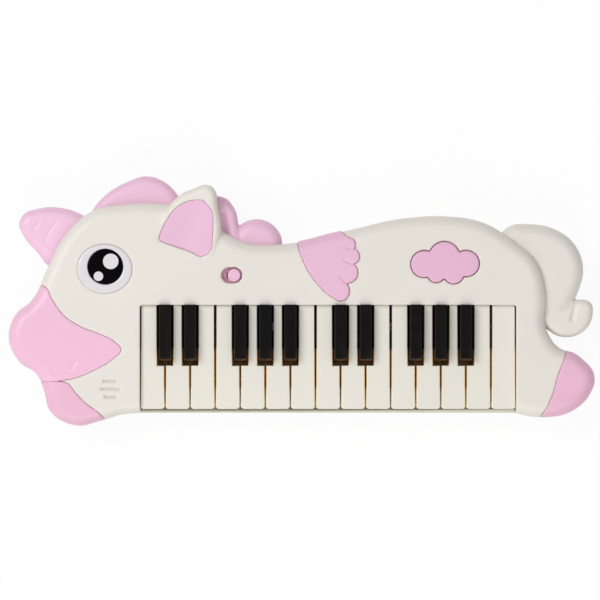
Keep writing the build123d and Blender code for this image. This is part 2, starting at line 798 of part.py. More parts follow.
def button_dome():
    """The rubber dome that returns the cloud."""
    dome = Cone(*button_dome_radii, button_dome_height, align=(Align.CENTER, Align.CENTER, Align.MIN))
    return Pos(*cloud_middle, control_board_top) * dome


def knob_slot(spare, low, high):
    """The slot that the knob's stem slides in."""
    half = knob_stem / 2 + spare
    return block(around(pill_centre[0], knob_travel / 2 + half), around(pill_centre[1], half), (low, high))


def switch_bezel():
    """The pill-shaped dish round the power switch."""
    flange = prism(offset(pill_face, bezel_flange), bezel_low, cavity_top - seat_gap)
    dish = prism(pill_face, bezel_low, top_height - bezel_sink) + flange
    dish -= prism(offset(pill_face, -bezel_wall), top_height - pill_depth, above)
    return dish - knob_slot(knob_stem_gap, 0, above)


def switch_knob():
    """The round knob of the power switch and its square stem."""
    x, y = knob_x, pill_centre[1]
    half = knob_stem / 2
    knob = fillet(rim(post((x, y), knob_radius, knob_low, knob_top), knob_top), knob_edge)
    stem_low = control_board_top + switch_size[2] - slide_depth + slide_room
    return knob + block(around(x, half), around(y, half), (stem_low, knob_low + bite))


def slide_switch():
    """The metal slide switch on the control board."""
    long, wide, high = switch_size
    top = control_board_top + high
    body = block(around(pill_centre[0], long / 2), around(pill_centre[1], wide / 2), (control_board_top, top))
    return body - knob_slot(slide_gap, top - slide_depth, above)


def control_board():
    """The board behind the keys that carries the chip and the switches."""
    x, y, long, wide = control_board_area
    heights = (control_board_top - board_thick, control_board_top)
    board = block(around(x, long / 2), around(y, wide / 2), heights)
    return cut(board, holes(hanging_posts, screw_hole, 0, above))


def sound_chip():
    """The chip that makes the tones."""
    x, y, long, wide = chip_area
    return block(around(x, long / 2), around(y, wide / 2), (control_board_top, control_board_top + chip_height))


def inner_ear():
    """The coloured inlay that follows the ear's slope, a little below it."""
    return (prism(inner_ear_face, 0, above) & over_ear(ear_dish + wall)) - over_ear(ear_dish)


def eye_white():
    """The pale oval of the eye, a plug in the panel."""
    plug = rounded_prism(eye_face, eye_low, top_height + eye_proud, eye_edge)
    return plug - post(pupil_centre, pupil_radius + pupil_gap, top_height - pupil_depth, above)


def eye_pupil():
    """The dark round of the eye."""
    crown = top_height + eye_proud + pupil_proud
    disc = post(pupil_centre, pupil_radius, top_height - pupil_depth + seat_gap, crown)
    return fillet(rim(disc, crown), pupil_edge)


# Loudspeaker, rim down over the sound holes

def turned(points):
    """A round piece at the loudspeaker's place from its half profile, radius and height."""
    return Pos(*speaker_centre, speaker_low) * revolve(Plane.XZ * Polygon(*points, align=None), Axis.Z)


def speaker_basket():
    """The steel basket, a flat rim and a bowl with a closed end."""
    inner = speaker_radius - basket_rim
    end = basket_height - basket_sheet
    return turned((
        (inner, 0), (speaker_radius, 0), (speaker_radius, basket_rim_thick),
        (inner + basket_sheet, basket_rim_thick), (magnet_radius + basket_sheet, basket_height),
        (0, basket_height), (0, end), (magnet_radius, end), (inner, basket_rim_thick)))


def speaker_cone():
    """The paper cone inside the basket, with a flat cap."""
    edge = speaker_radius - basket_rim - rail_gap
    return turned((
        (edge, cone_edge), (edge, cone_edge + cone_sheet), (cone_top_radius, cone_top), (0, cone_top),
        (0, cone_top - cone_sheet), (cone_top_radius, cone_top - cone_sheet)))


def speaker_magnet():
    """The magnet on the closed end of the basket."""
    low = speaker_low + basket_height
    return post(speaker_centre, magnet_radius, low, low + magnet_height)


# Screws, feet and the list of pieces

def screw(place, bearing, up):
    """A pan head screw whose head bears at one height and whose shank goes up or down."""
    side = 1 if up else -1
    head = sorted((bearing, bearing - side * screw_head_height))
    shank = sorted((bearing, bearing + side * screw_bite))
    return post(place, screw_head_radius, *head) + post(place, screw_radius, *shank)


def screws():
    """All screws of the case, the key frame and the two boards."""
    group = [screw(place, foot_height + well_depth, True) for place in all_bosses]
    group += [screw(place, frame_top, False) for place in frame_posts]
    group += [screw(place, board_top, False) for place in board_posts]
    group += [screw(place, control_board_top - board_thick, True) for place in hanging_posts]
    return group


def group_of(solids):
    """Separate solids kept together in one node."""
    return Compound(children=list(solids))


parts = {
    "upper_case": upper_case(),
    "lower_case": lower_case(),
    "muzzle": capped(muzzle_region, muzzle_boss),
    "front_hoof": capped(front_hoof_region, front_hoof_boss, muzzle_region),
    "rear_hoof": capped(rear_hoof_region, rear_hoof_boss),
    "wing": wing(),
    "horn": trapped([horn_points], horn_top, [horn_round], horn_root),
    "front_mane": trapped([front_mane_points], mane_top, [front_mane_round], front_mane_root,
                          [around_ear, around_horn]),
    "rear_mane": trapped(rear_mane_lobes, mane_top, rear_mane_rounds, rear_mane_root, [around_ear]),
    "tail": trapped(tail_lobes, tail_top, tail_rounds, tail_root),
    "inner_ear": inner_ear(),
    "eye_white": eye_white(),
    "eye_pupil": eye_pupil(),
    "cloud_button": cloud_button(),
    "button_dome": button_dome(),
    "switch_bezel": switch_bezel(),
    "switch_knob": switch_knob(),
    "slide_switch": slide_switch(),
    "key_frame": key_frame(),
    "pivot_rod": along_x(rod_radius, rod_left, rod_right),
    "key_felt": key_felt(),
    "contact_board": contact_board(),
    "key_domes": group_of(domes()),
    "control_board": control_board(),
    "sound_chip": sound_chip(),
    "speaker_basket": speaker_basket(),
    "speaker_cone": speaker_cone(),
    "speaker_magnet": speaker_magnet(),
    "batteries": group_of(cells()),
    "battery_contacts": group_of(contacts()),
    "battery_door": battery_door(),
    "door_screw": screw(door_screw_place, foot_height + door_screw_sink, True),
    "screws": group_of(screws()),
    "feet": group_of(post(place, foot_radius, 0, foot_height) for place in foot_places),
}
for k in range(white_count):
    parts[f"white_key_{k + 1:02d}"] = white_key(k)
for number, k in enumerate(black_after, 1):
    parts[f"black_key_{number:02d}"] = black_key(k)

os.makedirs("parts", exist_ok=True)
for name, shape in parts.items():
    export_step(shape, f"parts/{name}.step")
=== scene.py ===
import bpy
import bmesh
import json
import math
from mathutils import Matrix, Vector

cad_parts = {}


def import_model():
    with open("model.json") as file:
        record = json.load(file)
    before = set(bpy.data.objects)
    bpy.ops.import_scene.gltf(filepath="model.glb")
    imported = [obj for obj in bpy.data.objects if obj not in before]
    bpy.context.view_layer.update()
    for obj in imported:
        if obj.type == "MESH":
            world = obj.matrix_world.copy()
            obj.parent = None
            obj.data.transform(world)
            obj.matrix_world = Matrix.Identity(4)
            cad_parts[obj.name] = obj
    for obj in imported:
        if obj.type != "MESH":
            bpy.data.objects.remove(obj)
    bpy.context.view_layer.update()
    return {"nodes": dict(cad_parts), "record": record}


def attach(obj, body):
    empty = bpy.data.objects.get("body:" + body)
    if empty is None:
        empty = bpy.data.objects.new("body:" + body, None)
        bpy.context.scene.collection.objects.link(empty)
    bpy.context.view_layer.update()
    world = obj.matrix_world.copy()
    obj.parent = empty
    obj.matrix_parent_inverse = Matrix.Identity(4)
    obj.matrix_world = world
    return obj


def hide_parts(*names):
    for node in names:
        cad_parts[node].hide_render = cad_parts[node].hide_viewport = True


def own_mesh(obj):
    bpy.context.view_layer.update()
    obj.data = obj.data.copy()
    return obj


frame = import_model()
nodes = frame["nodes"]
behaviour = frame["record"]["behaviour"]
bodyOf = {name: body for body, members in behaviour["bodies"].items() for name in members}
mm = 0.001
print("frame loaded,", len(nodes), "pieces")


# Helpers for colours and node trees

def seen(red, green, blue):
    # a colour as the screen shows it, from 0 to 255
    def step(value):
        value = value / 255
        return value / 12.92 if value <= 0.04045 else ((value + 0.055) / 1.055) ** 2.4
    return (step(red), step(green), step(blue), 1.0)


def openGroup(name, inputs, outputs):
    tree = bpy.data.node_groups.new(name, "ShaderNodeTree")
    for label, kind, value in inputs:
        socket = tree.interface.new_socket(name=label, in_out="INPUT", socket_type="NodeSocket" + kind)
        socket.default_value = value
    for label, kind in outputs:
        tree.interface.new_socket(name=label, in_out="OUTPUT", socket_type="NodeSocket" + kind)
    return tree, tree.nodes.new("NodeGroupInput").outputs, tree.nodes.new("NodeGroupOutput").inputs


def put(tree, kind, **settings):
    node = tree.nodes.new("ShaderNode" + kind)
    for key, value in settings.items():
        setattr(node, key, value)
    return node


def plug(tree, target, source):
    # a socket is wired, a plain value is set
    if isinstance(source, bpy.types.NodeSocket):
        tree.links.new(source, target)
    else:
        target.default_value = source


def calc(tree, operation, first, second, clamp=False):
    node = put(tree, "Math", operation=operation, use_clamp=clamp)
    plug(tree, node.inputs[0], first)
    plug(tree, node.inputs[1], second)
    return node.outputs[0]


def ramp(tree, value, low, high, toLow=0.0, toHigh=1.0):
    node = put(tree, "MapRange", interpolation_type="SMOOTHSTEP")
    for socket, number in zip(node.inputs, (value, low, high, toLow, toHigh)):
        plug(tree, socket, number)
    return node.outputs[0]


def blendColour(tree, factor, first, second):
    # the colours of a Mix node are its inputs 6 and 7 and its output 2
    node = put(tree, "Mix", data_type="RGBA")
    plug(tree, node.inputs[0], factor)
    plug(tree, node.inputs[6], first)
    plug(tree, node.inputs[7], second)
    return node.outputs[2]


def placeOf(tree):
    return put(tree, "TexCoord").outputs["Object"]


def noise(tree, place, scale, detail, rough=0.5):
    node = put(tree, "TexNoise")
    plug(tree, node.inputs["Vector"], place)
    plug(tree, node.inputs["Scale"], scale)
    node.inputs["Detail"].default_value = detail
    node.inputs["Roughness"].default_value = rough
    return node.outputs["Fac"]


def bands(tree, scale, distortion):
    # bands that follow one another along Y
    node = put(tree, "TexWave", wave_type="BANDS", bands_direction="Y")
    plug(tree, node.inputs["Vector"], placeOf(tree))
    node.inputs["Scale"].default_value = scale
    node.inputs["Distortion"].default_value = distortion
    return node.outputs["Fac"]


# Shared effects: drift of colour and grain of moulded plastic, rubbed edges with a painted highlight, painted
# shade in hollows, round printed spots

grainLook = {"slowScale": 22.0, "middleScale": 160.0, "detail": 2.0, "fineRough": 0.6, "speckShare": 0.35}


def makeMouldGrain():
    tree, given, result = openGroup(
        "mouldGrain",
        [("Color", "Color", (0.8, 0.8, 0.8, 1.0)), ("Drift", "Float", 0.04), ("Grain Size", "Float", 1500.0),
         ("Waviness", "Float", 0.25), ("Gloss Drift", "Float", 0.06), ("Base Roughness", "Float", 0.4)],
        [("Color", "Color"), ("Height", "Float"), ("Roughness", "Float")])
    place = placeOf(tree)
    slow = noise(tree, place, grainLook["slowScale"], grainLook["detail"])
    middle = noise(tree, place, grainLook["middleScale"], grainLook["detail"])
    fine = noise(tree, place, given["Grain Size"], grainLook["detail"], grainLook["fineRough"])

    def swing(source, amount):
        # the noise about its mean
        return calc(tree, "MULTIPLY", calc(tree, "SUBTRACT", source, 0.5), amount)

    speck = swing(fine, calc(tree, "MULTIPLY", given["Drift"], grainLook["speckShare"]))
    lift = calc(tree, "ADD", swing(slow, given["Drift"]), speck)
    shade = put(tree, "HueSaturation")
    plug(tree, shade.inputs["Color"], given["Color"])
    plug(tree, shade.inputs["Value"], calc(tree, "ADD", lift, 1.0))
    plug(tree, result["Color"], shade.outputs[0])
    plug(tree, result["Height"], calc(tree, "ADD", fine, calc(tree, "MULTIPLY", middle, given["Waviness"])))
    sheen = swing(middle, given["Gloss Drift"])
    plug(tree, result["Roughness"], calc(tree, "ADD", given["Base Roughness"], sheen, clamp=True))
    return tree


wearHighlightShadeLook = {
    # the ranges of the patchy noise, and of Pointiness at edges and in hollows
    "patchScale": 90.0, "patchDetail": 4.0,
    "patches": (0.35, 0.65), "edges": (0.51, 0.60), "hollows": (0.49, 0.40),
}


# lightens sharp edges in patches, as wear and a painted highlight, and darkens hollows with painted shade
def makeWearHighlightAndShade():
    tree, given, result = openGroup(
        "wearHighlightAndShade",
        [("Color", "Color", (0.8, 0.8, 0.8, 1.0)), ("Rubbed", "Color", (1.0, 1.0, 1.0, 1.0)),
         ("Soiled", "Color", (0.5, 0.45, 0.4, 1.0)), ("Rub", "Float", 0.2), ("Soil", "Float", 0.2)],
        [("Color", "Color")])
    point = put(tree, "NewGeometry").outputs["Pointiness"]
    patchy = noise(tree, placeOf(tree), wearHighlightShadeLook["patchScale"], wearHighlightShadeLook["patchDetail"])
    edge = calc(tree, "MULTIPLY", ramp(tree, point, *wearHighlightShadeLook["edges"]), ramp(tree, patchy, *wearHighlightShadeLook["patches"]))
    hollow = ramp(tree, point, *wearHighlightShadeLook["hollows"])
    wearAndPaintedLight = blendColour(tree, calc(tree, "MULTIPLY", edge, given["Rub"]), given["Color"], given["Rubbed"])
    paintedHollowShade = blendColour(tree, calc(tree, "MULTIPLY", hollow, given["Soil"]), wearAndPaintedLight, given["Soiled"])
    plug(tree, result["Color"], paintedHollowShade)
    return tree


def makeRoundSpot():
    tree, given, result = openGroup(
        "roundSpot",
        [("Centre", "Vector", (0.0, 0.0, 0.0)), ("Radius", "Float", 0.01), ("Softness", "Float", 0.0002)],
        [("Mask", "Float")])
    flat = put(tree, "VectorMath", operation="MULTIPLY")
    plug(tree, flat.inputs[0], placeOf(tree))
    flat.inputs[1].default_value = (1.0, 1.0, 0.0)
    away = put(tree, "VectorMath", operation="DISTANCE")
    plug(tree, away.inputs[0], flat.outputs[0])
    plug(tree, away.inputs[1], given["Centre"])
    outside = calc(tree, "ADD", given["Radius"], given["Softness"])
    plug(tree, result["Mask"], ramp(tree, away.outputs["Value"], outside, given["Radius"]))
    return tree


mouldGrain = makeMouldGrain()
wearHighlightAndShade = makeWearHighlightAndShade()
roundSpot = makeRoundSpot()


# Materials

def useGroup(tree, group, **values):
    # group inputs are given as words run together, baseRoughness for Base Roughness
    node = tree.nodes.new("ShaderNodeGroup")
    node.node_tree = group
    for key, value in values.items():
        label = "".join(" " + letter if letter.isupper() else letter for letter in key).title()
        plug(tree, node.inputs[label], value)
    return node.outputs


def newMaterial(name):
    material = bpy.data.materials.new(name)
    material.use_nodes = True
    shader = material.node_tree.nodes["Principled BSDF"]
    return material, material.node_tree, shader


def dress(tree, shader, colour, roughness, height, depth):
    plug(tree, shader.inputs["Base Color"], colour)
    plug(tree, shader.inputs["Roughness"], roughness)
    bump = put(tree, "Bump")
    bump.inputs["Strength"].default_value = 1.0
    bump.inputs["Distance"].default_value = depth
    plug(tree, bump.inputs["Height"], height)
    plug(tree, shader.inputs["Normal"], bump.outputs[0])


def mouldedPlastic(name, colour, rubbed, soiled, rough=0.42, drift=0.05, grain=1500.0, waviness=0.3,
                   bump=0.00003, rub=0.25, soil=0.35, glossDrift=0.08, coat=0.0, coatRough=0.12, specular=0.5):
    material, tree, shader = newMaterial(name)
    skin = useGroup(tree, mouldGrain, color=colour, drift=drift, grainSize=grain, waviness=waviness,
                    baseRoughness=rough, glossDrift=glossDrift)
    # worn edges with a painted highlight, and painted shade in the hollows
    wearAndPaintedLight = useGroup(tree, wearHighlightAndShade, color=skin["Color"], rubbed=rubbed, soiled=soiled, rub=rub, soil=soil)
    dress(tree, shader, wearAndPaintedLight["Color"], skin["Roughness"], skin["Height"], bump)
    shader.inputs["Coat Weight"].default_value = coat
    shader.inputs["Coat Roughness"].default_value = coatRough
    shader.inputs["Specular IOR Level"].default_value = specular
    return material


# each: its colour, a lighter colour for worn edges with a painted highlight, and a darker colour for painted
# shade in hollows
plasticLooks = {
    "shellWhite": dict(colour=seen(233, 228, 219), rubbed=seen(245, 242, 236), soiled=seen(176, 160, 142),
                       rough=0.46),
    # the ledge's lighter cream is painted light that lifts the ledge out of its shade under the keys
    "ledgePaintedLight": dict(colour=seen(252, 246, 226), rubbed=seen(254, 250, 238), soiled=seen(206, 186, 150),
                       rough=0.46),
    "muzzlePink": dict(colour=seen(243, 194, 218), rubbed=seen(250, 216, 232), soiled=seen(190, 128, 156)),
    "hornPink": dict(colour=seen(242, 199, 225), rubbed=seen(250, 220, 238), soiled=seen(186, 132, 164)),
    "manePink": dict(colour=seen(238, 194, 219), rubbed=seen(249, 216, 234), soiled=seen(184, 120, 152)),
    "earPink": dict(colour=seen(236, 190, 217), rubbed=seen(246, 212, 232), soiled=seen(180, 124, 154)),
    "wingPink": dict(colour=seen(237, 190, 216), rubbed=seen(248, 214, 232), soiled=seen(182, 122, 150)),
    "cloudPink": dict(colour=seen(234, 185, 213), rubbed=seen(246, 210, 230), soiled=seen(176, 112, 142)),
    "hoofPink": dict(colour=seen(238, 188, 211), rubbed=seen(248, 212, 228), soiled=seen(184, 122, 150)),
    # the dish's darker pink is painted shade of the recess
    "dishPinkPaintedShade": dict(colour=seen(214, 160, 184), rubbed=seen(232, 190, 208), soiled=seen(140, 90, 112)),
    "knobPink": dict(colour=seen(238, 192, 214), rubbed=seen(250, 218, 232), soiled=seen(170, 110, 138),
                     rough=0.36),
    "eyeWhite": dict(colour=seen(228, 223, 227), rubbed=seen(244, 242, 244), soiled=seen(186, 176, 182),
                     rough=0.24, drift=0.03, grain=2600.0, bump=0.00001, coat=0.3),
    "keyWhite": dict(colour=seen(235, 231, 220), rubbed=seen(246, 244, 238), soiled=seen(150, 126, 92),
                     rough=0.3, drift=0.025, grain=2600.0, bump=0.00001, coat=0.15),
    # the black keys' lighter edge colour is mostly a painted highlight along the top chamfers
    "keyBlack": dict(colour=seen(10, 8, 9), rubbed=seen(60, 52, 44), soiled=seen(8, 7, 7),
                     rough=0.36, drift=0.2, grain=2200.0, bump=0.00002, rub=0.5, specular=0.12),
    "frameBlack": dict(colour=seen(26, 24, 24), rubbed=seen(60, 56, 52), soiled=seen(12, 11, 11), rough=0.55),
    "domeRubber": dict(colour=seen(196, 190, 176), rubbed=seen(210, 206, 194), soiled=seen(120, 110, 94),
                       rough=0.7),
    "footRubber": dict(colour=seen(74, 72, 72), rubbed=seen(104, 102, 100), soiled=seen(40, 38, 36),
                       rough=0.8, grain=900.0, bump=0.0001),
    "chipBlack": dict(colour=seen(30, 30, 32), rubbed=seen(80, 80, 82), soiled=seen(14, 14, 14), rough=0.6),
    "speakerPaper": dict(colour=seen(40, 38, 36), rubbed=seen(70, 66, 62), soiled=seen(20, 18, 17),
                         rough=0.9, grain=700.0, bump=0.0002),
    "feltGrey": dict(colour=seen(96, 94, 98), rubbed=seen(130, 128, 130), soiled=seen(50, 48, 50),
                     rough=0.95, drift=0.3, grain=1100.0, bump=0.0004),
    "cellSleeve": dict(colour=seen(84, 92, 104), rubbed=seen(150, 156, 164), soiled=seen(40, 44, 50),
                       rough=0.3, coat=0.3),
    "ferriteGrey": dict(colour=seen(70, 70, 74), rubbed=seen(110, 110, 112), soiled=seen(34, 34, 36),
                        rough=0.7, grain=600.0, bump=0.0001),
}
finishes = {name: mouldedPlastic(name, **look) for name, look in plasticLooks.items()}

sideLook = {
    # where the tones change along Y, and the height above which a black key stands clear, in millimetres
    "boardBack": -34.0, "ledgeBack": -61.0, "fade": 2.5, "playLevel": 38.0, "playFade": 1.2,
    "rough": 0.4, "drift": 0.12, "grain": 1800.0, "glossDrift": 0.08, "bump": 0.00001, "specular": 0.15,
}
paintedBrownReflection = seen(150, 106, 66)
paintedKeySideTones = {
    # name: painted shade at the rear, painted reflections in the middle and at the front, and the part that
    # stands clear
    "ivorySideShadeAndReflection": (seen(136, 118, 96), seen(238, 200, 146), seen(252, 238, 208), None),
    "blackSideShadeAndReflection": (seen(12, 10, 10), paintedBrownReflection, paintedBrownReflection, seen(11, 9, 10)),
}


def paintedKeySide(name, rear, middle, front, upper):
    # the side walls of a key, painted by place: dark shade over the key frame, a tan reflection over the board,
    # a cream reflection over the ledge
    material, tree, shader = newMaterial(name)
    axes = put(tree, "SeparateXYZ")
    plug(tree, axes.inputs[0], placeOf(tree))

    def before(edge):
        # 0 behind the edge, 1 in front of it
        return ramp(tree, axes.outputs[1], (edge + sideLook["fade"]) * mm, (edge - sideLook["fade"]) * mm)

    tone = blendColour(tree, before(sideLook["boardBack"]), rear, middle)
    tone = blendColour(tree, before(sideLook["ledgeBack"]), tone, front)
    if upper:
        standing = ramp(tree, axes.outputs[2], sideLook["playLevel"] * mm,
                        (sideLook["playLevel"] + sideLook["playFade"]) * mm)
        tone = blendColour(tree, standing, tone, upper)
    skin = useGroup(tree, mouldGrain, color=tone, drift=sideLook["drift"], grainSize=sideLook["grain"],
                    baseRoughness=sideLook["rough"], glossDrift=sideLook["glossDrift"])
    dress(tree, shader, skin["Color"], skin["Roughness"], skin["Height"], sideLook["bump"])
    shader.inputs["Specular IOR Level"].default_value = sideLook["specular"]
    return material


finishes.update({name: paintedKeySide(name, *tones) for name, tones in paintedKeySideTones.items()})

metalLook = {"drift": 0.1, "grain": 1800.0, "glossDrift": 0.2, "distortion": 3.0, "bump": 0.00002}
metals = {
    # name: colour, roughness, scale of the drawing lines
    "steel": (seen(186, 184, 180), 0.3, 900.0),
    "nickel": (seen(200, 190, 168), 0.25, 1200.0),
}


def drawnMetal(name, colour, rough, scale):
    material, tree, shader = newMaterial(name)
    skin = useGroup(tree, mouldGrain, color=colour, drift=metalLook["drift"], grainSize=metalLook["grain"],
                    baseRoughness=rough, glossDrift=metalLook["glossDrift"])
    lines = bands(tree, scale, metalLook["distortion"])
    dress(tree, shader, skin["Color"], skin["Roughness"], lines, metalLook["bump"])
    shader.inputs["Metallic"].default_value = 1.0
    return material


finishes.update({name: drawnMetal(name, *look) for name, look in metals.items()})

boardLook = {
    "rough": 0.5, "drift": 0.25, "grain": 900.0, "glossDrift": 0.1, "trackEdge": (0.72, 0.8), "bump": 0.00005,
}
boards = {
    # name: laminate, tracks, scale of the tracks
    "brownBoard": (seen(196, 146, 92), seen(226, 186, 120), 60.0),
    "greenBoard": (seen(44, 96, 60), seen(90, 140, 80), 90.0),
}


def boardLaminate(name, base, track, scale):
    # laminate with straight printed tracks
    material, tree, shader = newMaterial(name)
    skin = useGroup(tree, mouldGrain, color=base, drift=boardLook["drift"], grainSize=boardLook["grain"],
                    baseRoughness=boardLook["rough"], glossDrift=boardLook["glossDrift"])
    mask = ramp(tree, bands(tree, scale, 0.0), *boardLook["trackEdge"])
    tone = blendColour(tree, mask, skin["Color"], track)
    dress(tree, shader, tone, skin["Roughness"], mask, boardLook["bump"])
    return material


finishes.update({name: boardLaminate(name, *look) for name, look in boards.items()})

eyeLook = {
    "spots": (((-133.7, 27.7), 5.3), ((-142.3, 17.3), 3.2)),  # middle and radius, in millimetres
    "black": seen(6, 5, 7), "spotWhite": seen(226, 223, 224),
    "rough": 0.16, "drift": 0.3, "grain": 2400.0, "glossDrift": 0.06, "bump": 0.00004, "specular": 0.06,
}


def printedEye(name):
    material, tree, shader = newMaterial(name)
    masks = [useGroup(tree, roundSpot, centre=(x * mm, y * mm, 0.0), radius=radius * mm)["Mask"]
             for (x, y), radius in eyeLook["spots"]]
    spots = calc(tree, "MAXIMUM", *masks)
    skin = useGroup(tree, mouldGrain, color=eyeLook["black"], drift=eyeLook["drift"], grainSize=eyeLook["grain"],
                    baseRoughness=eyeLook["rough"], glossDrift=eyeLook["glossDrift"])
    tone = blendColour(tree, spots, skin["Color"], eyeLook["spotWhite"])
    dress(tree, shader, tone, skin["Roughness"], spots, eyeLook["bump"])
    shader.inputs["Specular IOR Level"].default_value = eyeLook["specular"]
    return material


finishes["printedEye"] = printedEye("printedEye")
print("materials made,", len(finishes))


# Tools for pieces made from the frame's own shapes

shaping = {
    # the weld in metres and the angle in degrees
    "weld": 0.000004, "smoothing": 0.5, "sharpAngle": 32.0,
    # the least upward normal of what is melted or pressed, and how many widths a pressed line reaches
    "meltFacing": -0.2, "pressFacing": 0.05, "pressReach": 3,
}


def copyOf(node, name, material):
    piece = bpy.data.objects.new(name, nodes[node].data.copy())
    bpy.context.scene.collection.objects.link(piece)
    mesh = piece.data
    work = bmesh.new()
    work.from_mesh(mesh)
    bmesh.ops.remove_doubles(work, verts=work.verts, dist=shaping["weld"])
    work.to_mesh(mesh)
    work.free()
    mesh.materials.clear()
    mesh.materials.append(finishes[material])
    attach(piece, bodyOf[node])
    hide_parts(node)
    return piece


def settle(piece):
    # turns a piece's modifiers into its mesh
    ready = piece.evaluated_get(bpy.context.evaluated_depsgraph_get())
    mesh = bpy.data.meshes.new_from_object(ready)
    piece.modifiers.clear()
    piece.data = mesh


def tuck(piece, shift):
    # adds a copy pushed a little into the case, so that the remeshed piece grows out of it with no slit
    work = bmesh.new()
    work.from_mesh(piece.data)
    pushed = bmesh.ops.duplicate(work, geom=work.verts[:] + work.edges[:] + work.faces[:])["geom"]
    moved = [item for item in pushed if isinstance(item, bmesh.types.BMVert)]
    bmesh.ops.translate(work, verts=moved, vec=(shift[0] * mm, shift[1] * mm, 0))
    work.to_mesh(piece.data)
    work.free()


def soften(piece, voxel, passes, swell):
    # rounds the piece, then grows it along its normals
    remesh = piece.modifiers.new("remesh", "REMESH")
    remesh.mode = "VOXEL"
    remesh.voxel_size = voxel * mm
    remesh.use_smooth_shade = True
    smooth = piece.modifiers.new("smooth", "SMOOTH")
    smooth.factor = shaping["smoothing"]
    smooth.iterations = passes
    if swell:
        grow = piece.modifiers.new("grow", "DISPLACE")
        grow.strength = swell * mm
        grow.mid_level = 0.0
    settle(piece)


def pointsOf(line):
    return [Vector((x * mm, y * mm)) for x, y in line]


def awayFrom(here, points):
    # the distance seen from above to the nearest stretch of a line of points
    def toStretch(start, end):
        along = end - start
        share = max(0.0, min(1.0, (here - start).dot(along) / along.length_squared))
        return (here - start - along * share).length
    return min(toStretch(points[k], points[k + 1]) for k in range(len(points) - 1))


def nudge(piece, middle, reach, shift):
    # moves what is near a place sideways, fading out over the reach
    for vertex in piece.data.vertices:
        away = (vertex.co.xy - Vector(middle) * mm).length / (reach * mm)
        if away < 1:
            vertex.co.xy += Vector(shift) * mm * (1 - away ** 2) ** 2


def melt(piece, line, reach, passes):
    # smooths the piece strongly near a line of points and not at all a reach away from it
    points = pointsOf(line)
    near = piece.vertex_groups.new(name="near")
    for vertex in piece.data.vertices:
        away = awayFrom(vertex.co.xy, points)
        if away < reach * mm and vertex.normal.z > shaping["meltFacing"]:
            near.add([vertex.index], 1 - (away / (reach * mm)) ** 2, "REPLACE")
    smooth = piece.modifiers.new("melt", "SMOOTH")
    smooth.vertex_group = near.name
    smooth.iterations = passes
    settle(piece)
    piece.vertex_groups.clear()


def pressLine(piece, line, width, depth, above):
    # presses a soft valley along a line of points
    points = pointsOf(line)
    spread = width * mm
    for vertex in piece.data.vertices:
        if vertex.co.z < above * mm or vertex.normal.z < shaping["pressFacing"]:
            continue
        nearest = awayFrom(vertex.co.xy, points)
        if nearest < shaping["pressReach"] * spread:
            vertex.co.z -= depth * mm * math.exp(-(nearest / spread) ** 2)


def crisp(piece):
    for polygon in piece.data.polygons:
        polygon.use_smooth = True
    piece.data.set_sharp_from_angle(angle=math.radians(shaping["sharpAngle"]))
    weigh = piece.modifiers.new("weigh", "WEIGHTED_NORMAL")
    weigh.keep_sharp = True
    settle(piece)


def secondFinish(piece, material, chosen):
    # the faces that the test chooses get a finish of their own
    piece.data.materials.append(finishes[material])
    for polygon in piece.data.polygons:
        if chosen(polygon):
            polygon.material_index = 1


# Shells and soft pieces, in millimetres

shells = {
    # node: name, material, voxel, smoothing passes, swell over the seam, push into the case
    "upper_case": ("upperCase", "shellWhite", 0.8, 2, 0.0, None),
    "muzzle": ("muzzleCap", "muzzlePink", 0.7, 2, 0.12, None),
    "front_hoof": ("frontHoofCap", "hoofPink", 0.7, 2, 0.12, None),
    "rear_hoof": ("rearHoofCap", "hoofPink", 0.7, 2, 0.12, None),
    "wing": ("wingRelief", "wingPink", 0.6, 2, 0.15, None),
    "horn": ("hornPuff", "hornPink", 0.8, 6, 0.0, (1.3, -1.0)),
    "front_mane": ("frontMane", "manePink", 0.8, 6, 0.0, (0.4, -1.5)),
    "rear_mane": ("rearMane", "manePink", 0.8, 6, 0.0, (-0.8, -1.3)),
    "tail": ("tailPuff", "shellWhite", 0.8, 8, 0.0, (-0.9, -0.4)),
    "cloud_button": ("cloudButton", "cloudPink", 0.5, 2, 0.1, None),
    "inner_ear": ("innerEar", "earPink", 0.5, 3, 0.18, None),
    "eye_white": ("eyeWhite", "eyeWhite", 0.5, 3, 0.26, None),
}
softPieces = {}
for node, (name, material, voxel, passes, swell, push) in shells.items():
    softPieces[node] = copyOf(node, name, material)
    if push:
        tuck(softPieces[node], push)
    soften(softPieces[node], voxel, passes, swell)
print("shells softened")


# Keys and small parts with crisp edges

keyLook = {
    # in millimetres: each side wall moves outward by the widening at the top, and by the draft more at the
    # height below it
    "widening": 0.2, "draft": 0.3, "top": 38.0, "height": 12.0, "back": -4.0,
    "whiteSteepness": 0.45, "blackSteepness": 0.9,
}
ledgeLevel = 17.0


def widen(piece):
    # narrows the gaps in front of the panel's edge, so that they look as fine as in the photo
    for vertex in piece.data.vertices:
        if vertex.co.y < keyLook["back"] * mm:
            depth = max(0.0, keyLook["top"] - vertex.co.z / mm) / keyLook["height"]
            vertex.co.x += vertex.normal.x * (keyLook["widening"] + keyLook["draft"] * depth) * mm


def whiteSide(face):
    return abs(face.normal.x) > keyLook["whiteSteepness"]


def blackSideShadeAndReflection(face):
    return max(abs(face.normal.x), abs(face.normal.y)) > keyLook["blackSteepness"]


def ledgeTop(face):
    return face.center.z > ledgeLevel * mm


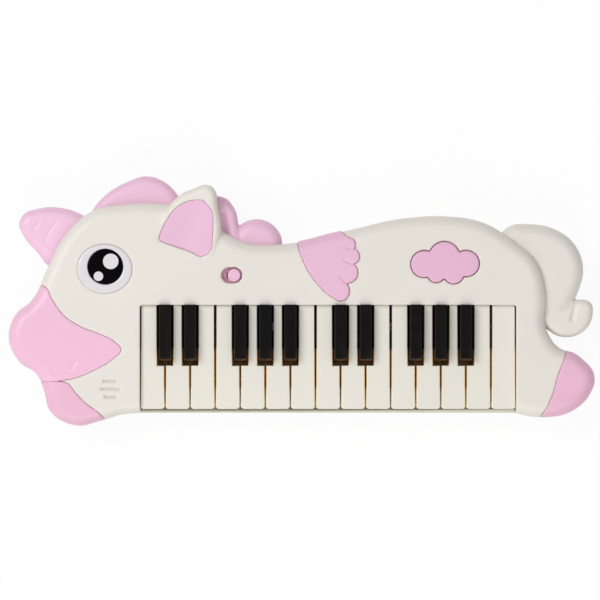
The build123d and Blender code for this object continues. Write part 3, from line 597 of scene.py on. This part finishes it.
crispPieces = {
    # node: name, material
    "eye_pupil": ("eyePupil", "printedEye"),
    "switch_bezel": ("switchDish", "dishPinkPaintedShade"),
    "switch_knob": ("switchKnob", "knobPink"),
    "feet": ("rubberFeet", "footRubber"),
    "battery_door": ("batteryDoor", "shellWhite"),
    "lower_case": ("lowerCase", "shellWhite"),
}
for colour in ("white", "black"):
    for node in nodes:
        if node.startswith(colour + "_key"):
            crispPieces[node] = (colour + "Key" + node[-2:], "key" + colour.title())
for node, (name, material) in crispPieces.items():
    piece = copyOf(node, name, material)
    if material == "keyWhite":
        secondFinish(piece, "ivorySideShadeAndReflection", whiteSide)
        widen(piece)
    if material == "keyBlack":
        secondFinish(piece, "blackSideShadeAndReflection", blackSideShadeAndReflection)
    # the ledge's top gets the lighter finish of painted light
    if node == "lower_case":
        secondFinish(piece, "ledgePaintedLight", ledgeTop)
    crisp(piece)
print("keys and small parts made")


# Rubber domes, one piece to each joint, each with a mesh of its own

domeLook = {
    "reach": 6.0, "whiteRow": -54.0, "whiteKeep": 0.5, "blackRow": -38.5, "blackKeep": 0.64, "buttonKeep": 0.75,
}


def makeDome(node, name, middle=None):
    piece = copyOf(node, name, "domeRubber")
    if middle:
        work = bmesh.new()
        work.from_mesh(piece.data)
        others = [vertex for vertex in work.verts if (vertex.co.xy - middle).length > domeLook["reach"] * mm]
        bmesh.ops.delete(work, geom=others, context="VERTS")
        work.to_mesh(piece.data)
        work.free()
    crisp(piece)
    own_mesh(piece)


for joint in behaviour["joints"]:
    # joints are named like white_key_01_press
    words = joint["name"].split("_")
    if words[1] == "key":
        colour = words[0]
        middle = Vector((joint["pos_m"][0], domeLook[colour + "Row"] * mm))
        makeDome("key_domes", colour + "Dome" + words[2], middle)
makeDome("button_dome", "buttonDome")
print("domes made")


# Inner pieces keep the frame's shape and only get their finish

innerFinish = {
    "key_frame": "frameBlack", "pivot_rod": "steel", "key_felt": "feltGrey", "contact_board": "brownBoard",
    "control_board": "greenBoard", "sound_chip": "chipBlack", "slide_switch": "steel",
    "speaker_basket": "steel", "speaker_cone": "speakerPaper", "speaker_magnet": "ferriteGrey",
    "batteries": "cellSleeve", "battery_contacts": "nickel", "door_screw": "steel", "screws": "steel",
}
for node, material in innerFinish.items():
    mesh = nodes[node].data
    mesh.materials.clear()
    mesh.materials.append(finishes[material])


# Relief on the soft pieces, in millimetres

earFoot = dict(line=((-106.0, 40.0), (-102.0, 54.0), (-94.0, 68.0)), reach=7.0, passes=30)
earTip = dict(middle=(-71.0, 82.5), reach=15.0, shift=(3.0, -0.8))
reliefLines = {
    "hornFront": dict(piece="horn", line=((-184.4, 56.8), (-185.8, 52.5), (-188.0, 49.8)),
                      width=0.9, depth=0.45, above=20),
    "hornBack": dict(piece="horn", line=((-172.6, 55.2), (-177.0, 49.1), (-180.3, 42.4)),
                     width=0.9, depth=0.45, above=20),
    "slotHigh": dict(piece="upper_case", line=((-138.4, -56.0), (-130.6, -56.0)),
                     width=0.8, depth=1.5, above=38),
    "slotMiddle": dict(piece="upper_case", line=((-140.2, -61.5), (-127.8, -61.5)),
                       width=0.8, depth=1.5, above=38),
    "slotLow": dict(piece="upper_case", line=((-137.8, -67.0), (-130.2, -67.0)),
                    width=0.8, depth=1.5, above=38),
    "earDish": dict(piece="inner_ear", line=((-83.0, 44.0), (-76.0, 58.0)), width=9.0, depth=1.4, above=38),
    "featherLow": dict(piece="wing", line=((31.0, 12.5), (26.9, 17.1)), width=0.9, depth=0.9, above=38),
    "featherMiddle": dict(piece="wing", line=((36.0, 26.0), (29.8, 28.2)), width=0.9, depth=0.9, above=38),
    "featherHigh": dict(piece="wing", line=((36.5, 36.5), (32.4, 36.6)), width=0.8, depth=0.8, above=38),
    "maneFold": dict(piece="rear_mane", line=((-55.5, 60.0), (-54.0, 52.0), (-53.0, 44.0)),
                     width=3.0, depth=2.2, above=20),
    "smile": dict(piece="muzzle", line=((-174.3, -49.7), (-168.0, -50.5), (-162.4, -49.0), (-158.2, -42.7)),
                  width=0.8, depth=0.5, above=30),
    "curlCrease": dict(piece="tail", line=((192.3, 0.5), (191.0, -6.0), (189.4, -13.0)),
                       width=1.5, depth=1.5, above=15),
}
melt(softPieces["upper_case"], **earFoot)
nudge(softPieces["upper_case"], **earTip)
for relief in reliefLines.values():
    shape = {key: value for key, value in relief.items() if key != "piece"}
    pressLine(softPieces[relief["piece"]], **shape)
print("relief lines pressed")


# Stage, light and camera, in metres and watts

studio = {
    "floorSize": 6.0, "floorColour": (0.9, 0.9, 0.9, 1.0), "floorGlow": 0.93,
    "worldColour": (1.0, 1.0, 1.0, 1.0), "worldStrength": 0.40, "worldSeen": 1.0,
    "lamps": (  # place, size, power, aimed at the middle of the toy
        ((-1.3, 0.75, 1.9), 1.1, 25.0),
        ((0.8, 0.3, 1.4), 1.0, 1.5),
        ((-0.1, -1.2, 1.1), 1.2, 9.0),
    ),
    # the picture is as wide as frameWidth at the height of the keys
    "lens": 300.0, "sensor": 36.0, "frameWidth": 0.42, "keyPlane": 0.038, "aim": (-0.0014, 0.0007),
    "farClip": 50.0,
}


def makeFloor():
    # glows evenly for the camera and takes light as matt paper, seen only from above
    half = studio["floorSize"] / 2
    corners = [(-half, -half, 0), (half, -half, 0), (half, half, 0), (-half, half, 0)]
    mesh = bpy.data.meshes.new("floor")
    mesh.from_pydata(corners, [], [(0, 1, 2, 3)])
    floor = bpy.data.objects.new("floor", mesh)
    bpy.context.scene.collection.objects.link(floor)
    material = bpy.data.materials.new("paleFloor")
    material.use_nodes = True
    tree = material.node_tree
    tree.nodes.clear()
    matt = put(tree, "BsdfDiffuse")
    matt.inputs["Color"].default_value = studio["floorColour"]
    glow = put(tree, "Emission")
    through = put(tree, "BsdfTransparent")
    light = put(tree, "LightPath").outputs
    seenBy = calc(tree, "MAXIMUM", calc(tree, "MAXIMUM", light["Is Camera Ray"], light["Is Glossy Ray"]),
                  light["Is Transmission Ray"])
    front = put(tree, "MixShader")
    plug(tree, front.inputs[0], calc(tree, "MULTIPLY", seenBy, studio["floorGlow"]))
    plug(tree, front.inputs[1], matt.outputs[0])
    plug(tree, front.inputs[2], glow.outputs[0])
    sides = put(tree, "MixShader")
    plug(tree, sides.inputs[0], put(tree, "NewGeometry").outputs["Backfacing"])
    plug(tree, sides.inputs[1], front.outputs[0])
    plug(tree, sides.inputs[2], through.outputs[0])
    plug(tree, put(tree, "OutputMaterial").inputs[0], sides.outputs[0])
    mesh.materials.append(material)


def makeWorld():
    # brighter for the camera than for what it lights
    world = bpy.data.worlds.new("studio")
    bpy.context.scene.world = world
    world.use_nodes = True
    tree = world.node_tree
    back = tree.nodes["Background"]
    light = put(tree, "LightPath").outputs
    seenBy = calc(tree, "MAXIMUM", light["Is Camera Ray"], light["Is Transmission Ray"])
    back.inputs["Color"].default_value = studio["worldColour"]
    strength = ramp(tree, seenBy, 0.0, 1.0, studio["worldStrength"], studio["worldSeen"])
    plug(tree, back.inputs["Strength"], strength)


def makeLamps():
    for number, (spot, size, power) in enumerate(studio["lamps"]):
        lamp = bpy.data.lights.new("softbox%d" % number, "AREA")
        lamp.shape = "DISK"
        lamp.size = size
        lamp.energy = power
        holder = bpy.data.objects.new("softbox%d" % number, lamp)
        holder.location = spot
        holder.rotation_euler = (-Vector(spot)).to_track_quat("-Z", "Y").to_euler()
        bpy.context.scene.collection.objects.link(holder)


def makeCamera():
    lens = bpy.data.cameras.new("topCamera")
    lens.lens = studio["lens"]
    lens.sensor_width = studio["sensor"]
    lens.clip_end = studio["farClip"]
    camera = bpy.data.objects.new("topCamera", lens)
    height = studio["frameWidth"] * studio["lens"] / studio["sensor"] + studio["keyPlane"]
    camera.location = (*studio["aim"], height)
    bpy.context.scene.collection.objects.link(camera)
    bpy.context.scene.camera = camera


makeFloor()
makeWorld()
makeLamps()
makeCamera()
bpy.context.scene.view_settings.view_transform = "Standard"
print("stage set")
